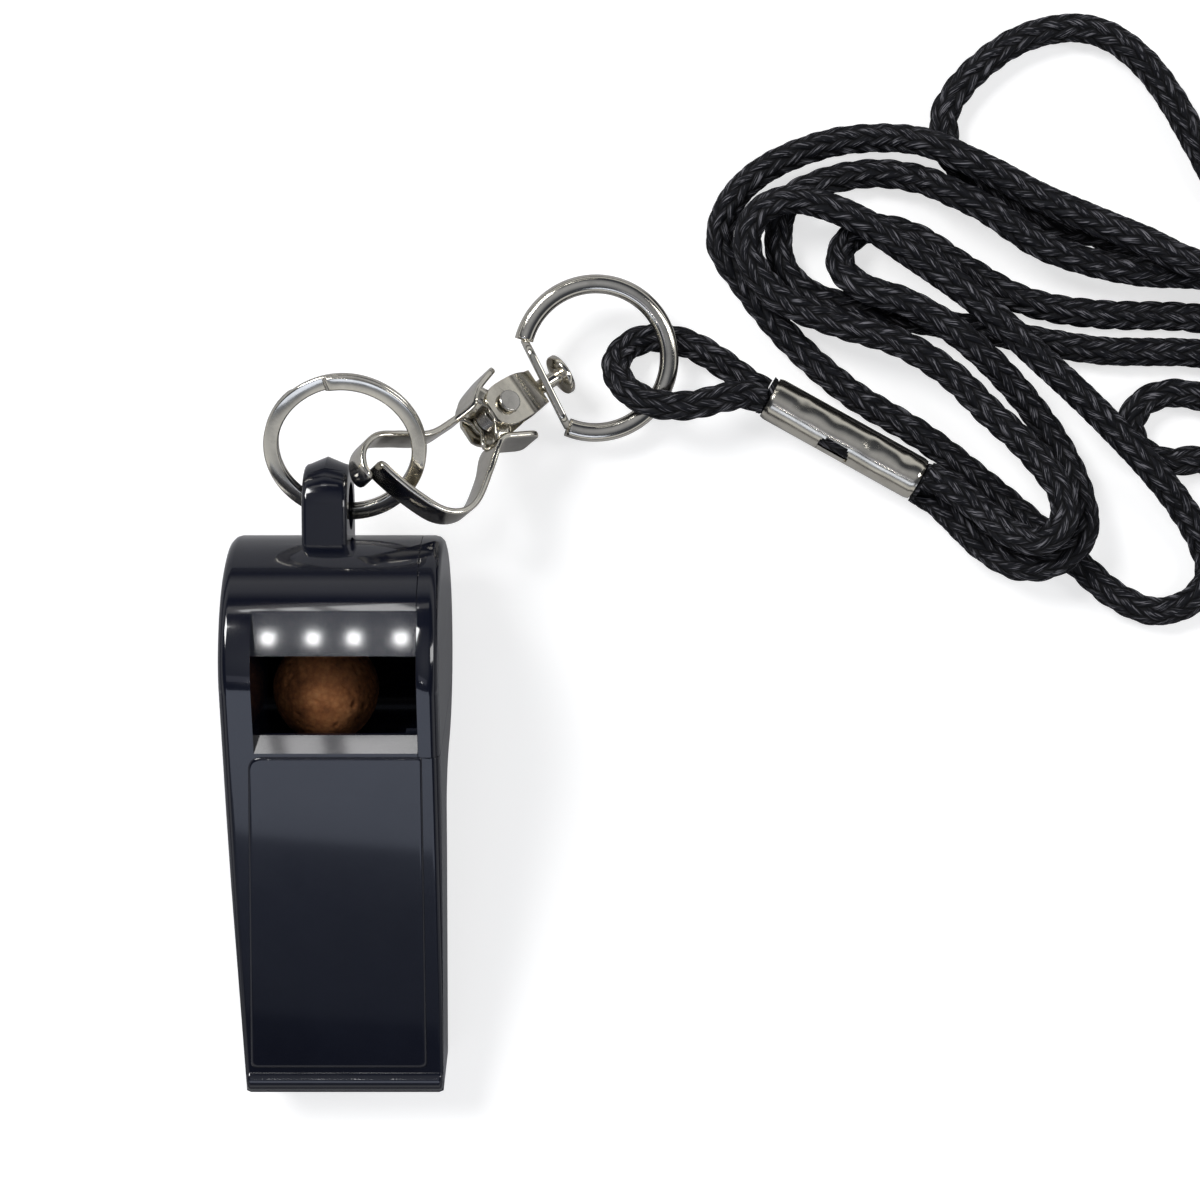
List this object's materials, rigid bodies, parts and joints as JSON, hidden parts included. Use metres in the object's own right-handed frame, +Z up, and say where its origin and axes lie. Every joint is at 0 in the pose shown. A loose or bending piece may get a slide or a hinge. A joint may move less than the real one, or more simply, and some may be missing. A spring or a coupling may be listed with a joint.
{
  "type": "sports whistle",
  "caption": "Plastic pea whistle with lip mouthpiece, split ring, sprung scissor clip with swivel and D-ring, and a braided neck cord in a crimped ferrule.",
  "frame": {"origin": "centre of the base of whistle, ring, clip and D-ring together, on the table they lie on", "axes": "+Z up from the table, -Y towards the mouthpiece, +X across the whistle towards the glued side cap and the heap of cord"},
  "size_m": [0.1356, 0.1027, 0.0217],
  "materials": {
    "black_plastic": "blue-black injection moulding, glossy with faint flow marks",
    "cork": "orange-brown cork ball",
    "nickel_plate": "bright nickel plate with slight handling marks",
    "spring_steel": "plain spring steel",
    "cord": "black braided cord with a dull sheen"
  },
  "bodies": {
    "lanyard": {"neck_cord": "cord", "cord_ferrule": "nickel_plate", "crimped_strands": "cord", "tie_loop": "cord"},
    "d_ring": {"d_ring": "nickel_plate"},
    "clip_body": {"clip_bail": "nickel_plate", "jaw_rivet": "spring_steel", "jaw_spring": "spring_steel", "swivel_stud": "nickel_plate"},
    "jaw_left": {"jaw_left": "nickel_plate"},
    "jaw_right": {"jaw_right": "nickel_plate"},
    "split_ring": {"split_ring": "nickel_plate"},
    "whistle": {"body_shell": "black_plastic", "side_cap": "black_plastic"},
    "pea": {"cork_pea": "cork"}
  },
  "joints": [
    {"name": "d_ring_swing", "type": "hinge", "parent": "lanyard", "child": "d_ring", "pos_m": [0.019, 0.03392, 0.00445], "axis": [0.4423, -0.8756, -0.1942], "range_deg": [0, 25]},
    {"name": "swivel_turn", "type": "hinge", "parent": "d_ring", "child": "clip_body", "pos_m": [0.00628, 0.02723, 0.00515], "axis": [-0.7871, -0.5239, 0.3256], "continuous": true},
    {"name": "jaw_left_open", "type": "hinge", "parent": "clip_body", "child": "jaw_left", "pos_m": [0.00314, 0.02514, 0.0076], "axis": [-0.4534, -0.3018, -0.8387], "range_deg": [0, 10], "stiffness_Nm_per_rad": 0.002, "springref_deg": -17.19},
    {"name": "jaw_right_open", "type": "hinge", "parent": "clip_body", "child": "jaw_right", "pos_m": [0.00314, 0.02514, 0.0076], "axis": [0.4534, 0.3018, 0.8387], "range_deg": [0, 10], "stiffness_Nm_per_rad": 0.002, "springref_deg": -17.19},
    {"name": "ring_in_clip", "type": "hinge", "parent": "clip_body", "child": "split_ring", "pos_m": [-0.00387, 0.01934, 0.01339], "axis": [0.4067, 0.7662, 0.4976], "range_deg": [-25, 10]},
    {"name": "whistle_swing", "type": "hinge", "parent": "split_ring", "child": "whistle", "pos_m": [-0.01198, 0.01643, 0.01174], "axis": [1, 0, 0], "range_deg": [-25, 55]},
    {"name": "pea_orbit", "type": "hinge", "parent": "whistle", "child": "pea", "pos_m": [-0.01088, 0.00297, 0.0108], "axis": [1, 0, 0], "continuous": true}
  ],
  "couplings": [
    {"joint": "jaw_left_open", "follows": "jaw_right_open", "ratio": 1}
  ]
}
